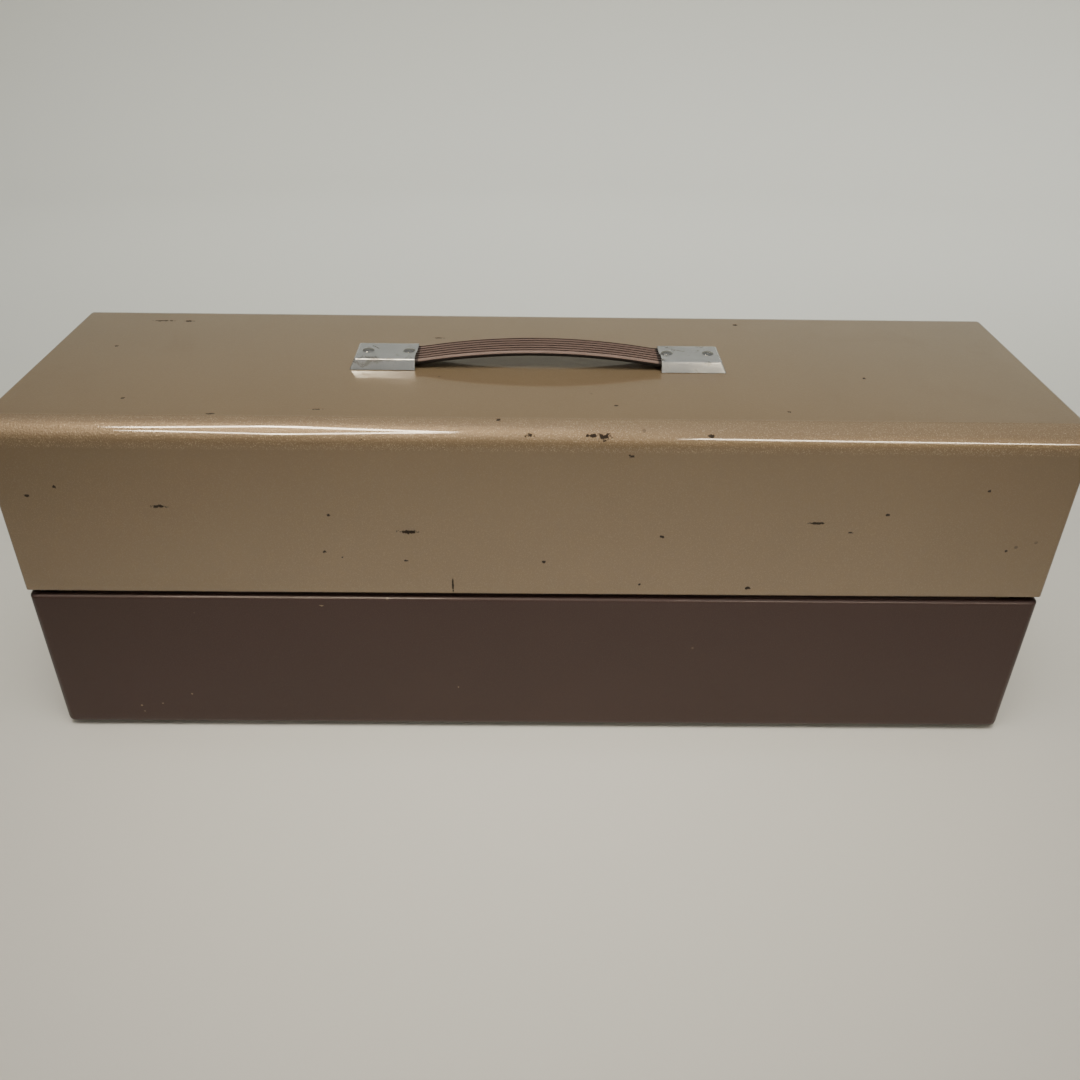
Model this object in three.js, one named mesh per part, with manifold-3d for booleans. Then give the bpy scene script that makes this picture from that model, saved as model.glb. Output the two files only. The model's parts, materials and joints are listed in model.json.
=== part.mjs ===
// Steel tool box with a cantilever tray: tub, hinged lid, strap handle and draw latches.
// Millimetres, +Z up. The origin is at the centre of the underside, and the hinge side faces -Y.

import * as THREE from 'three';
import { mergeVertices } from 'three/addons/utils/BufferGeometryUtils.js';
import Module from 'manifold-3d';

const wasm = await Module();
wasm.setup();

// Box
const LENGTH = 610;
const DEPTH = 182;
const LID_TOP = 219;
const SHEET = 0.9;
const SEAT = 0.3; // gap between fixed pieces that seat on each other
const RUN = 0.2; // radial clearance round a turning pin
const WELD = 1e-4; // points nearer than this are one point
const OVERCUT = 1; // how far a cutting solid passes the face that it cuts
const MIN_CORNER = 0.4;

// Tub
const SEAM = 105; // height of the ledge
const TUB_CORNER = 5;
const TUB_BOTTOM_ROUND = 5;
const LEDGE_REACH = 4.6;
const LEDGE_BEND = 1.5;
const FLANGE_DROP = 4.5;
const EMBOSS_INSET = 6;
const EMBOSS_SLOPE = 1.5;
const EMBOSS_DEPTH = 2;

// Lid
const LID_ROUND = 12.7;
const LID_END_ROUND = 2.5;
const LID_GAP = 0.4; // over the ledge, at the front and the ends
const LID_HEM = 8;
const HINGE_SLOT = 4; // over the ledge, along the hinge side
const RELIEF_LENGTH = 8;

// Hinge
const HINGE_IN = 3.8; // axis behind the outer wall
const HINGE_UP = 4.4; // axis over the ledge
const KNUCKLE_RADIUS = 1.9;
const HINGE_PIN_RADIUS = 1;
const KNUCKLE_PITCH = 40;
const KNUCKLE_GAP = 0.4;
const HINGE_END_MARGIN = 25;
const LEAF = 0.8;
const LID_LEAF_HEIGHT = 18.6;
const TUB_LEAF_HEIGHT = 13.4;

// Tray and its arms
const TRAY_END_GAP = 9; // tray to the outer face of the box's end
const TRAY_SIDE_GAP = 13.5;
const TRAY_BELOW_SEAM = 10;
const TRAY_HEIGHT = 40;
const TRAY_SHEET = 0.8;
const TRAY_CORNER = 6;
const TRAY_BOTTOM_ROUND = 3;
const RIM_RADIUS = 1.6;
const RIM_CURL_FROM = 300; // degrees, where the rim's bead leaves the wall
const DIVIDER_HEIGHT = 33;
const DIVIDER_FOOT = 8;
const DIVIDER_NOTCH = 3;
const LONG_DIVIDER_IN = 71.5; // long divider behind the tray's front
const REAR_DIVIDERS = 3;
const FRONT_DIVIDERS = 1;
const ARM_REACH = 62; // from the hinge axis forward to the tray's rear pivot
const ARM_RISE = 10;
const TRAY_PIVOT_IN = 17.7; // front pivots behind the tray's front
const ARM_DROP = 14;
const ARM_THICK = 1.5;
const ARM_HALF_WIDTH = 6;
const ARM_STANDOFF = 1.5; // tray to arm
const STUD_RADIUS = 2.5;
const STUD_HEAD_RADIUS = 4.5;
const STUD_HEAD = 0.9;
const SPACER_RADIUS = 3.6;

// Handle
const CAP_MOUTH = 74; // from the middle of the handle to the cap's open end
const CAP_LENGTH = 40;
const CAP_WIDTH = 30;
const CAP_HEIGHT = 6.6;
const CAP_SLOPE = 2.4;
const CAP_TOP_ROUND = 1.2;
const CAP_CORNER = 2.2;
const CAP_SHEET = 0.9;
const SCREW_FROM_MOUTH = [5, 30];
const SCREW_HEAD_RADIUS = 3.7;
const SCREW_HEAD_HEIGHT = 2.2;
const SCREW_SHANK_RADIUS = 1.9;
const SCREW_PEEN_RADIUS = 3.2;
const SCREW_PEEN_HEIGHT = 1.4;
const STRAP_WIDTH = 23;
const STRAP_THICK = 3.5;
const STRAP_TOP = 12; // middle of the strap over the lid
const STRAP_BOW = 6.5; // rise of the strap from the mouths to the middle
const STRAP_RIBS = 5;
const STEPS_PER_RIB = 4;
const STRAP_RIB_HEIGHT = 0.45;
const STRAP_CROWN = 0.3; // the middle of the section over its edges
const STRAP_BEAD = 2.2;
const STRAP_SPLIT = 8; // from the mouth to the joint between strap and strap end
const STRAP_END_GAP = 2.5;
const STRAP_FLOOR_GAP = 0.6;
const STRAP_SLOT_WIDTH = 5.2;
const STRAP_SLOT_END = 2; // web left behind the slot
const STRAP_STEPS = 14;
const STRAP_END_STEPS = 7;

// Latches
const LATCH_FROM_END = 115;
const LATCH_SHEET = 1.2;
const LATCH_PLATE_WIDTH = 28;
const LATCH_PLATE_HEIGHT = 38;
const LATCH_PLATE_BELOW_SEAM = 8;
const LATCH_PIVOT_OUT = 6.1; // lever pivot in front of the wall
const LATCH_PIVOT_BELOW_SEAM = 17;
const LATCH_PIN_RADIUS = 1.5;
const LATCH_PIN_HEAD_RADIUS = 2.5;
const LATCH_PIN_HEAD = 0.6;
const EAR_RADIUS = 4.2;
const LEVER_WIDTH = 16;
const LEVER_LENGTH = 36;
const LEVER_NOSE_RADIUS = 3.9;
const LEVER_DEPTH = 2.4; // pivot to the inside of the lever's face
const LEVER_FLANGE_LENGTH = 26;
const LEVER_BOSS_WALL = 0.7; // round the bail's pivot
const LEVER_LIP = 3.2;
const LEVER_LIP_LENGTH = 8;
const BAIL_WIRE_RADIUS = 1;
const BAIL_PIVOT_DOWN = 8.5;
const BAIL_PIVOT_IN = 2.2;
const BAIL_SIDE_GAP = 0.5;
const BAIL_BEAR_GAP = 0.4; // bail over the keeper's shoulder
const KEEPER_UP = 14; // shoulder over the ledge
const KEEPER_REACH = 4.8;
const KEEPER_WIDTH = 19;
const KEEPER_PLATE_WIDTH = 24;
const KEEPER_PLATE_HEIGHT = 18;
const KEEPER_SHEET = 1.1;
const RIVET_RADIUS = 2.4;
const RIVET_HEIGHT = 1;
const RIVET_SPACING = 14;

// Worked out from the sizes above
const HALF_LENGTH = LENGTH / 2;
const HALF_DEPTH = DEPTH / 2;
const HINGE_Y = HINGE_IN - HALF_DEPTH;
const HINGE_Z = SEAM + HINGE_UP;
const TRAY_HALF_LENGTH = HALF_LENGTH - TRAY_END_GAP;
const TRAY_HALF_DEPTH = HALF_DEPTH - TRAY_SIDE_GAP;
const TRAY_FLOOR = SEAM - TRAY_BELOW_SEAM;
const REAR_PIVOT = { y: HINGE_Y + ARM_REACH, z: HINGE_Z + ARM_RISE };
const ARM_FOOT = { y: TRAY_HALF_DEPTH - TRAY_PIVOT_IN - ARM_REACH, z: HINGE_Z - ARM_DROP };
const ARM_TIP = { y: ARM_FOOT.y + ARM_REACH, z: ARM_FOOT.z + ARM_RISE };
const LONG_DIVIDER_Y = TRAY_HALF_DEPTH - LONG_DIVIDER_IN;
const ARM_INNER = TRAY_HALF_LENGTH + ARM_STANDOFF;
const ARM_OUTER = ARM_INNER + ARM_THICK;
const CAP_SEAT = LID_TOP + SEAT;
const CAP_TOP = CAP_SEAT + CAP_HEIGHT;
const STRAP_RADIUS = (CAP_MOUTH ** 2 + STRAP_BOW ** 2) / (2 * STRAP_BOW);
const LATCH_PIVOT = { y: HALF_DEPTH + LATCH_PIVOT_OUT, z: SEAM - LATCH_PIVOT_BELOW_SEAM };
const BAIL_PIVOT = { y: LATCH_PIVOT.y - BAIL_PIVOT_IN, z: LATCH_PIVOT.z - BAIL_PIVOT_DOWN };
const EAR_INNER = LEVER_WIDTH / 2 + SEAT;
const EAR_OUTER = EAR_INNER + LATCH_SHEET;
const LATCH_PIN_END = EAR_OUTER + RUN + LATCH_PIN_HEAD;
const BAIL_HALF_WIDTH = LATCH_PIN_END + BAIL_SIDE_GAP + BAIL_WIRE_RADIUS;
const KEEPER_SHOULDER = SEAM + KEEPER_UP;

// Geometry helpers

function toSolid(geometry) {
  const plain = geometry.clone();
  plain.deleteAttribute('normal');
  plain.deleteAttribute('uv');
  const merged = mergeVertices(plain, WELD);
  return new wasm.Manifold(new wasm.Mesh({
    numProp: 3,
    vertProperties: new Float32Array(merged.attributes.position.array),
    triVerts: new Uint32Array(merged.index.array),
  }));
}

function toGeometry(solid) {
  const mesh = solid.getMesh();
  const geometry = new THREE.BufferGeometry();
  geometry.setAttribute('position', new THREE.BufferAttribute(mesh.vertProperties, mesh.numProp));
  geometry.setIndex(new THREE.BufferAttribute(mesh.triVerts, 1));
  geometry.computeVertexNormals();
  return geometry;
}

function combine(start, joined, cut = []) {
  let solid = toSolid(start);
  for (const piece of joined) {
    solid = solid.add(toSolid(piece));
  }
  for (const piece of cut) {
    solid = solid.subtract(toSolid(piece));
  }
  return toGeometry(solid);
}

function box(x0, x1, y0, y1, z0, z1) {
  const geometry = new THREE.BoxGeometry(x1 - x0, y1 - y0, z1 - z0);
  return geometry.translate((x0 + x1) / 2, (y0 + y1) / 2, (z0 + z1) / 2);
}

function rodX(radius, x0, x1, y, z, sides = 16) {
  const geometry = new THREE.CylinderGeometry(radius, radius, Math.abs(x1 - x0), sides);
  return geometry.rotateZ(Math.PI / 2).translate((x0 + x1) / 2, y, z);
}

function rodY(radius, y0, y1, x, z, sides = 16) {
  return new THREE.CylinderGeometry(radius, radius, y1 - y0, sides).translate(x, (y0 + y1) / 2, z);
}

function rodZ(radius, z0, z1, x, y, sides = 16) {
  const geometry = new THREE.CylinderGeometry(radius, radius, z1 - z0, sides);
  return geometry.rotateX(Math.PI / 2).translate(x, y, (z0 + z1) / 2);
}

// A flat outline in Y and Z, given as a Shape, drawn out along X.
function slabX(shape, x0, x1, curveSegments = 8) {
  const geometry = new THREE.ExtrudeGeometry(shape, { depth: x1 - x0, bevelEnabled: false, curveSegments });
  const turn = new THREE.Matrix4().set(0, 0, 1, x0, 1, 0, 0, 0, 0, 1, 0, 0, 0, 0, 0, 1);
  return geometry.applyMatrix4(turn);
}

function outline(points) {
  return new THREE.Shape(points.map(([y, z]) => new THREE.Vector2(y, z)));
}

// Points on an arc in a plane, from one angle to the other, in degrees.
function arc(u, v, radius, from, to, steps) {
  return Array.from({ length: steps + 1 }, (_, i) => {
    const angle = THREE.MathUtils.degToRad(from + (to - from) * i / steps);
    return [u + radius * Math.cos(angle), v + radius * Math.sin(angle)];
  });
}

function capTriangles(ring, flatten) {
  const flat = ring.map(flatten);
  const turn = Math.sign(THREE.ShapeUtils.area(flat));
  return THREE.ShapeUtils.triangulateShape(flat, []).map((face) => {
    const same = Math.sign(THREE.ShapeUtils.area(face.map((i) => flat[i]))) === turn;
    return same ? face : [face[0], face[2], face[1]];
  });
}

// A closed body through rings with the same number of points.
// flatten gives a ring point's place in the plane of the two end rings.
function loft(rings, flatten) {
  const count = rings[0].length;
  const last = (rings.length - 1) * count;
  const index = [];
  for (let r = 0; r < rings.length - 1; r += 1) {
    for (let i = 0; i < count; i += 1) {
      const a = r * count + i;
      const b = r * count + (i + 1) % count;
      index.push(a, b, b + count, a, b + count, a + count);
    }
  }
  for (const [a, b, c] of capTriangles(rings[0], flatten)) {
    index.push(a, c, b);
  }
  for (const [a, b, c] of capTriangles(rings[rings.length - 1], flatten)) {
    index.push(last + a, last + b, last + c);
  }
  const geometry = new THREE.BufferGeometry().setFromPoints(rings.flat());
  geometry.setIndex(index);
  if (volumeOf(geometry) < 0) {
    geometry.setIndex(index.reverse());
  }
  geometry.computeVertexNormals();
  return geometry;
}

function volumeOf(geometry) {
  const corners = [new THREE.Vector3(), new THREE.Vector3(), new THREE.Vector3()];
  const index = geometry.index.array;
  let volume = 0;
  for (let i = 0; i < index.length; i += 3) {
    corners.forEach((corner, k) => corner.fromBufferAttribute(geometry.attributes.position, index[i + k]));
    volume += corners[0].dot(corners[1].cross(corners[2])) / 6;
  }
  return volume;
}

const seenFromAbove = (point) => new THREE.Vector2(point.x, point.y);
const seenFromEnd = (point) => new THREE.Vector2(point.y, point.z);

function roundedRing(x0, x1, y0, y1, radius, z, steps = 4) {
  const r = Math.max(radius, MIN_CORNER);
  const corners = [[x1 - r, y1 - r, 0], [x0 + r, y1 - r, 90], [x0 + r, y0 + r, 180], [x1 - r, y0 + r, 270]];
  const points = corners.flatMap(([x, y, from]) => arc(x, y, r, from, from + 90, steps));
  return points.map(([x, y]) => new THREE.Vector3(x, y, z));
}

// A pressed tray or tub: a section given as [inset, height] pairs, carried round a rounded rectangle.
function pressing(section, halfLength, halfDepth, corner) {
  const rings = section.map(([inset, z]) => roundedRing(
    inset - halfLength, halfLength - inset, inset - halfDepth, halfDepth - inset, corner - inset, z,
  ));
  return loft(rings, seenFromAbove);
}

// Tub

function tub() {
  const inner = TUB_BOTTOM_ROUND - SHEET;
  const lip = LEDGE_REACH - SHEET;
  const bend = LEDGE_BEND - SHEET;
  const bottomZ = EMBOSS_DEPTH + TUB_BOTTOM_ROUND;
  const embossEnd = EMBOSS_INSET + EMBOSS_SLOPE;
  const section = [
    [embossEnd, 0],
    [EMBOSS_INSET, EMBOSS_DEPTH],
    ...arc(TUB_BOTTOM_ROUND, bottomZ, TUB_BOTTOM_ROUND, 270, 180, 4),
    ...arc(LEDGE_BEND, SEAM - LEDGE_BEND, LEDGE_BEND, 180, 90, 3),
    ...arc(lip, SEAM - SHEET, SHEET, 90, 0, 3),
    [LEDGE_REACH, SEAM - FLANGE_DROP],
    [lip, SEAM - FLANGE_DROP],
    [lip, SEAM - SHEET],
    ...arc(LEDGE_BEND, SEAM - LEDGE_BEND, bend, 90, 180, 3),
    ...arc(TUB_BOTTOM_ROUND, bottomZ, inner, 180, 270, 4),
    [EMBOSS_INSET, EMBOSS_DEPTH + SHEET],
    [embossEnd, SHEET],
  ];
  return pressing(section, HALF_LENGTH, HALF_DEPTH, TUB_CORNER);
}

// Lid

function lidRing(x, inset, bottom) {
  const side = HALF_DEPTH - inset;
  const top = LID_TOP - inset;
  const radius = LID_ROUND - inset;
  const points = [
    [side, bottom],
    ...arc(side - radius, top - radius, radius, 0, 90, 8),
    ...arc(radius - side, top - radius, radius, 90, 180, 8),
    [-side, bottom],
  ];
  return points.map(([y, z]) => new THREE.Vector3(x, y, z));
}

function lidBlock(inset, bottom) {
  const radius = LID_END_ROUND - inset;
  const round = arc(0, 0, radius, 0, 90, 4).map(([rise, fall]) => [
    HALF_LENGTH - LID_END_ROUND + rise,
    LID_END_ROUND - fall,
  ]);
  const left = round.map(([x, edge]) => lidRing(-x, edge, bottom));
  const right = round.map(([x, edge]) => lidRing(x, edge, bottom)).reverse();
  return loft([...left, ...right], seenFromEnd);
}

function screwPlaces(side) {
  return SCREW_FROM_MOUTH.map((distance) => side * (CAP_MOUTH + distance));
}

function lid() {
  const bottom = SEAM + LID_GAP;
  const below = SEAM - HINGE_SLOT;
  const hemTop = bottom + LID_HEM;
  const wallX = HALF_LENGTH - SHEET;
  const wallY = HALF_DEPTH - SHEET;
  const overlap = SHEET / 2;
  const slotTop = SEAM + HINGE_SLOT;
  const reliefStart = HINGE_IN - HALF_DEPTH + KNUCKLE_RADIUS;
  const relief = outline([
    [-HALF_DEPTH - OVERCUT, below],
    [reliefStart + RELIEF_LENGTH, below],
    [reliefStart + RELIEF_LENGTH, bottom],
    [reliefStart, slotTop],
    [-HALF_DEPTH - OVERCUT, slotTop],
  ]);
  const screwHoles = [-1, 1].flatMap(screwPlaces).map((x) => (
    rodZ(SCREW_SHANK_RADIUS + RUN, LID_TOP - 2 * SHEET, LID_TOP + SHEET, x, 0, 12)
  ));
  const hollow = combine(lidBlock(0, bottom), [], [lidBlock(SHEET, below)]);
  return combine(hollow, [
    box(-wallX, wallX, wallY - SHEET, wallY + overlap, bottom, hemTop),
    box(wallX - SHEET, wallX + overlap, SHEET - HALF_DEPTH, wallY, bottom, hemTop),
    box(-wallX - overlap, SHEET - wallX, SHEET - HALF_DEPTH, wallY, bottom, hemTop),
  ], [
    slabX(relief, -HALF_LENGTH - OVERCUT, HALF_LENGTH + OVERCUT),
    ...screwHoles,
  ]);
}

// Hinge

function knuckles(parity) {
  const span = LENGTH - 2 * HINGE_END_MARGIN;
  const count = Math.round(span / KNUCKLE_PITCH);
  const width = span / count;
  const spans = [];
  for (let i = 0; i < count; i += 1) {
    if (i % 2 === parity) {
      const start = i * width - span / 2;
      spans.push([start + KNUCKLE_GAP / 2, start + width - KNUCKLE_GAP / 2]);
    }
  }
  return spans;
}

// One leaf with its knuckles. The leaf is cut back where the other leaf's knuckles turn.
function hingeLeaf(parity, y0, y1, z0, z1, tabY0, tabY1, tabZ0, tabZ1) {
  const half = HALF_LENGTH - HINGE_END_MARGIN;
  const sheet = box(-half, half, y0, y1, z0, z1);
  const own = knuckles(parity);
  const tubes = own.map(([a, b]) => rodX(KNUCKLE_RADIUS, a, b, HINGE_Y, HINGE_Z, 12));
  const tabs = own.map(([a, b]) => box(a, b, tabY0, tabY1, tabZ0, tabZ1));
  const bore = rodX(HINGE_PIN_RADIUS + RUN, -half - OVERCUT, half + OVERCUT, HINGE_Y, HINGE_Z, 12);
  return combine(sheet, [...tubes, ...tabs], [bore]);
}

function tubLeaf() {
  const outer = LEDGE_REACH + SEAT - HALF_DEPTH;
  const inner = outer + LEAF;
  const turning = HINGE_IN - SHEET; // reach of the lid leaf from the axis
  const top = HINGE_Z - turning - SEAT;
  const boreSide = HINGE_Y + HINGE_PIN_RADIUS + 2 * RUN;
  return hingeLeaf(0, outer, inner, top - TUB_LEAF_HEIGHT, top, boreSide, inner, top - SEAT, HINGE_Z);
}

function lidLeaf() {
  const outer = SHEET + SEAT - HALF_DEPTH;
  const inner = outer + LEAF;
  const bottom = HINGE_Z + KNUCKLE_RADIUS + SEAT;
  const boreSide = HINGE_Y - HINGE_PIN_RADIUS - 2 * RUN;
  return hingeLeaf(1, outer, inner, bottom, bottom + LID_LEAF_HEIGHT, outer, boreSide, HINGE_Z, bottom + SEAT);
}

function hingePin() {
  const half = HALF_LENGTH - HINGE_END_MARGIN;
  return rodX(HINGE_PIN_RADIUS, -half - KNUCKLE_GAP, half + KNUCKLE_GAP, HINGE_Y, HINGE_Z, 12);
}

// Tray

function trayPan() {
  const top = TRAY_FLOOR + TRAY_HEIGHT;
  const beadZ = top - RIM_RADIUS;
  const bottomZ = TRAY_FLOOR + TRAY_BOTTOM_ROUND;
  const section = [
    ...arc(TRAY_BOTTOM_ROUND, bottomZ, TRAY_BOTTOM_ROUND, 270, 180, 3),
    ...arc(TRAY_SHEET - RIM_RADIUS, beadZ, RIM_RADIUS, RIM_CURL_FROM, 0, 8),
    ...arc(TRAY_BOTTOM_ROUND, bottomZ, TRAY_BOTTOM_ROUND - TRAY_SHEET, 180, 270, 3),
  ];
  const pan = pressing(section, TRAY_HALF_LENGTH, TRAY_HALF_DEPTH, TRAY_CORNER);
  const reach = TRAY_HALF_LENGTH + OVERCUT;
  const holes = [REAR_PIVOT, ARM_TIP].map((pivot) => (
    rodX(STUD_RADIUS + RUN, -reach, reach, pivot.y, pivot.z)
  ));
  return combine(pan, [], holes);
}

// A sheet partition. Its far lower corner is cut off, and its near one has a cut or a given step.
function partition(from, to, step = [0, DIVIDER_NOTCH]) {
  const floor = TRAY_FLOOR + TRAY_SHEET + SEAT;
  const top = floor + DIVIDER_HEIGHT;
  const [stepRun, stepRise] = step;
  const toe = from + Math.max(stepRun, DIVIDER_NOTCH);
  return outline([
    [toe, floor],
    [to - DIVIDER_NOTCH, floor],
    [to, floor + DIVIDER_NOTCH],
    [to, top],
    [from, top],
    [from, floor + stepRise],
    ...(stepRun > 0 ? [[toe, floor + stepRise]] : []),
  ]);
}

function foot(x0, x1, y0, y1) {
  const floor = TRAY_FLOOR + TRAY_SHEET + SEAT;
  return box(x0, x1, y0, y1, floor, floor + TRAY_SHEET);
}

function longDivider() {
  const reach = TRAY_HALF_LENGTH - TRAY_SHEET - SEAT;
  const sheet = slabX(partition(-reach, reach), 0, TRAY_SHEET);
  const turned = sheet.rotateZ(-Math.PI / 2).translate(0, LONG_DIVIDER_Y + TRAY_SHEET, 0);
  const footReach = reach - DIVIDER_NOTCH;
  return combine(turned, [
    foot(-footReach, footReach, LONG_DIVIDER_Y, LONG_DIVIDER_Y + DIVIDER_FOOT),
  ]);
}

function crossDivider(x, from, to, step) {
  const sheet = slabX(partition(from, to, step), x, x + TRAY_SHEET);
  const toe = from + Math.max(step ? step[0] : 0, DIVIDER_NOTCH);
  return combine(sheet, [foot(x, x + DIVIDER_FOOT, toe, to - DIVIDER_NOTCH)]);
}

function crossDividers() {
  const wall = TRAY_HALF_DEPTH - TRAY_SHEET - SEAT;
  const overFoot = [DIVIDER_FOOT - TRAY_SHEET, TRAY_SHEET + SEAT];
  const rows = [
    ['rear', REAR_DIVIDERS, -wall, LONG_DIVIDER_Y - SEAT],
    ['front', FRONT_DIVIDERS, LONG_DIVIDER_Y + TRAY_SHEET + SEAT, wall, overFoot],
  ];
  return rows.flatMap(([row, count, from, to, step]) => Array.from({ length: count }, (_, i) => {
    const x = TRAY_HALF_LENGTH * (2 * (i + 1) / (count + 1) - 1);
    return [`tray_divider_${row}_${i + 1}`, crossDivider(x, from, to, step)];
  }));
}

// Studs and arms, made for the right end. The left end's are turned over in X.

function mirrored(geometry, side) {
  return side > 0 ? geometry : toGeometry(toSolid(geometry).mirror([1, 0, 0]));
}

// A shouldered stud along X at a pivot: shaft, head, and spacers given as [x0, x1].
function stud(pivot, x0, x1, headX0, spacers) {
  return combine(rodX(STUD_RADIUS, x0, x1, pivot.y, pivot.z), [
    rodX(STUD_HEAD_RADIUS, headX0, headX0 + STUD_HEAD, pivot.y, pivot.z),
    ...spacers.map(([a, b]) => rodX(SPACER_RADIUS, a, b, pivot.y, pivot.z)),
  ]);
}

function lidStud() {
  const wall = HALF_LENGTH - SHEET - SEAT;
  const head = TRAY_HALF_LENGTH - TRAY_SHEET - SEAT - STUD_HEAD;
  return stud(REAR_PIVOT, head, wall, head, [[TRAY_HALF_LENGTH + SEAT, wall]]);
}

function armStud() {
  const wall = HALF_LENGTH - SHEET - SEAT;
  const head = ARM_INNER - SEAT - STUD_HEAD;
  return stud(ARM_FOOT, head, wall, head, [[ARM_OUTER + SEAT, wall]]);
}

function trayStud() {
  const inner = TRAY_HALF_LENGTH - TRAY_SHEET - SEAT - STUD_HEAD;
  const head = ARM_OUTER + SEAT;
  return combine(stud(ARM_TIP, inner, head, head, [[TRAY_HALF_LENGTH + SEAT, ARM_INNER - SEAT]]), [
    rodX(STUD_HEAD_RADIUS, inner, inner + STUD_HEAD, ARM_TIP.y, ARM_TIP.z),
  ]);
}

function arm() {
  const slope = Math.atan2(ARM_RISE, ARM_REACH);
  const shape = new THREE.Shape();
  shape.absarc(ARM_FOOT.y, ARM_FOOT.z, ARM_HALF_WIDTH, slope + Math.PI / 2, slope + 1.5 * Math.PI);
  shape.absarc(ARM_TIP.y, ARM_TIP.z, ARM_HALF_WIDTH, slope - Math.PI / 2, slope + Math.PI / 2);
  for (const pivot of [ARM_FOOT, ARM_TIP]) {
    const hole = new THREE.Path();
    hole.absarc(pivot.y, pivot.z, STUD_RADIUS + RUN, 0, 2 * Math.PI, true);
    shape.holes.push(hole);
  }
  return slabX(shape, ARM_INNER, ARM_OUTER, 10);
}

// Handle, made for the right end of the lid

function capBlock(inset, mouth, bottom) {
  const end = CAP_MOUTH + CAP_LENGTH - inset;
  const half = CAP_WIDTH / 2 - inset;
  const top = CAP_TOP - inset;
  const shoulder = top - CAP_TOP_ROUND;
  const corner = CAP_CORNER - inset / 2;
  const lean = CAP_SLOPE * (shoulder - CAP_SEAT) / CAP_HEIGHT;
  const rings = [[0, bottom], [lean, shoulder], [CAP_SLOPE + CAP_TOP_ROUND, top]];
  return loft(rings.map(([pull, z]) => (
    roundedRing(mouth, end - pull, pull - half, half - pull, corner, z)
  )), seenFromAbove);
}

function handleCap() {
  const holes = screwPlaces(1).map((x) => (
    rodZ(SCREW_SHANK_RADIUS + RUN, CAP_TOP - 2 * CAP_SHEET, CAP_TOP + CAP_SHEET, x, 0, 12)
  ));
  return combine(capBlock(0, CAP_MOUTH, CAP_SEAT), [], [
    capBlock(CAP_SHEET, CAP_MOUTH - CAP_LENGTH, CAP_SEAT - OVERCUT),
    ...holes,
  ]);
}

function capScrew(x) {
  const seat = CAP_TOP + SEAT;
  const peen = LID_TOP - SHEET - SEAT;
  const dome = arc(0, 0, 1, 90, 0, 5).map(([u, v]) => (
    new THREE.Vector2(u * SCREW_HEAD_RADIUS, seat + v * SCREW_HEAD_HEIGHT)
  ));
  const profile = [
    ...dome,
    new THREE.Vector2(SCREW_SHANK_RADIUS, seat),
    new THREE.Vector2(SCREW_SHANK_RADIUS, peen),
    new THREE.Vector2(SCREW_PEEN_RADIUS, peen),
    new THREE.Vector2(SCREW_PEEN_RADIUS, peen - SCREW_PEEN_HEIGHT),
    new THREE.Vector2(0, peen - SCREW_PEEN_HEIGHT),
  ];
  profile[0].x = 0;
  const geometry = new THREE.LatheGeometry(profile.reverse(), 16);
  return toGeometry(toSolid(geometry.rotateX(Math.PI / 2).translate(x, 0, 0)));
}

// The strap's section across its run: plain beads along both edges and ribs between them.
function strapSection() {
  const half = STRAP_WIDTH / 2;
  const upper = STRAP_THICK / 2;
  const ribbed = STRAP_WIDTH - 2 * STRAP_BEAD;
  const steps = STRAP_RIBS * STEPS_PER_RIB;
  const top = Array.from({ length: steps + 1 }, (_, i) => {
    const across = i / steps;
    const rib = Math.abs(Math.sin(Math.PI * STRAP_RIBS * across)) - 1;
    const crown = -((2 * across - 1) ** 2);
    return [ribbed * (0.5 - across), upper + STRAP_RIB_HEIGHT * rib + STRAP_CROWN * crown];
  });
  return [
    ...arc(half - upper, 0, upper, -90, 90, 6),
    ...top,
    ...arc(upper - half, 0, upper, 90, 270, 6),
  ];
}

function strapAlong(path, steps) {
  const section = strapSection();
  const rings = Array.from({ length: steps + 1 }, (_, i) => {
    const place = path.getPoint(i / steps);
    const along = path.getTangent(i / steps);
    return section.map(([y, rise]) => (
      new THREE.Vector3(place.x - along.y * rise, y, place.y + along.x * rise)
    ));
  });
  return loft(rings, seenFromEnd);
}

class StrapBow extends THREE.Curve {
  getPoint(t) {
    const half = CAP_MOUTH - STRAP_SPLIT - SEAT;
    const x = half * (2 * t - 1);
    return strapPoint(x);
  }
}

function strapPoint(x) {
  const middle = LID_TOP + STRAP_TOP - STRAP_THICK / 2;
  return new THREE.Vector2(x, middle - STRAP_RADIUS + Math.sqrt(STRAP_RADIUS ** 2 - x ** 2));
}

function strapEnd() {
  const start = strapPoint(CAP_MOUTH - STRAP_SPLIT);
  const endX = CAP_MOUTH + CAP_LENGTH - STRAP_END_GAP;
  const endZ = CAP_SEAT + STRAP_FLOOR_GAP + STRAP_THICK / 2;
  const reach = (endX - start.x) / 3;
  const fall = start.x / STRAP_RADIUS;
  const path = new THREE.CubicBezierCurve(
    start,
    new THREE.Vector2(start.x + reach, start.y - reach * fall),
    new THREE.Vector2(endX - reach, endZ),
    new THREE.Vector2(endX, endZ),
  );
  const slotStart = CAP_MOUTH + SCREW_FROM_MOUTH[0] - SCREW_SHANK_RADIUS - RUN;
  const slot = box(
    slotStart, endX - STRAP_SLOT_END, -STRAP_SLOT_WIDTH / 2, STRAP_SLOT_WIDTH / 2, LID_TOP, CAP_TOP + STRAP_THICK,
  );
  return combine(strapAlong(path, STRAP_END_STEPS), [], [slot]);
}

// Latches, made at x = 0 on the front

function rivet(x, z, seat) {
  return rodY(RIVET_RADIUS, seat - SEAT, seat + RIVET_HEIGHT, x, z, 14);
}

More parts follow.
